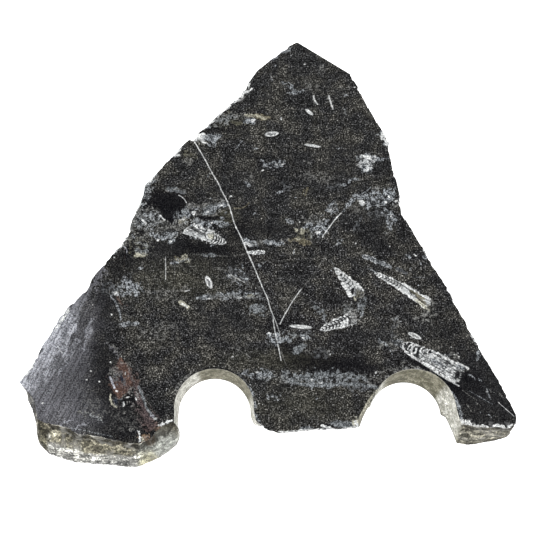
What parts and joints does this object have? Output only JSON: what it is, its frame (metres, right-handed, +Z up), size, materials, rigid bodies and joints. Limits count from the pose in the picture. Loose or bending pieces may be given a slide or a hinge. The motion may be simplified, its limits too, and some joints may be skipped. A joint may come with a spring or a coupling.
{
  "type": "orthoceras fossil",
  "caption": "Irregular slab of black limestone with a polished face, broken edges, one sawn edge and two half-round notches, holding straight cone-shaped fossil shells",
  "frame": {"origin": "middle of the footprint, on the sawn underside that the slab lies on", "axes": "+X along the slab from its broken left corner to its right corner, +Y across it from the notched edge to the top corner, +Z up out of the polished face"},
  "size_m": [0.3855, 0.3597, 0.025],
  "materials": {
    "black_limestone": "polished"
  },
  "bodies": {
    "root": {"fossil_slab": "black_limestone"}
  },
  "joints": []
}
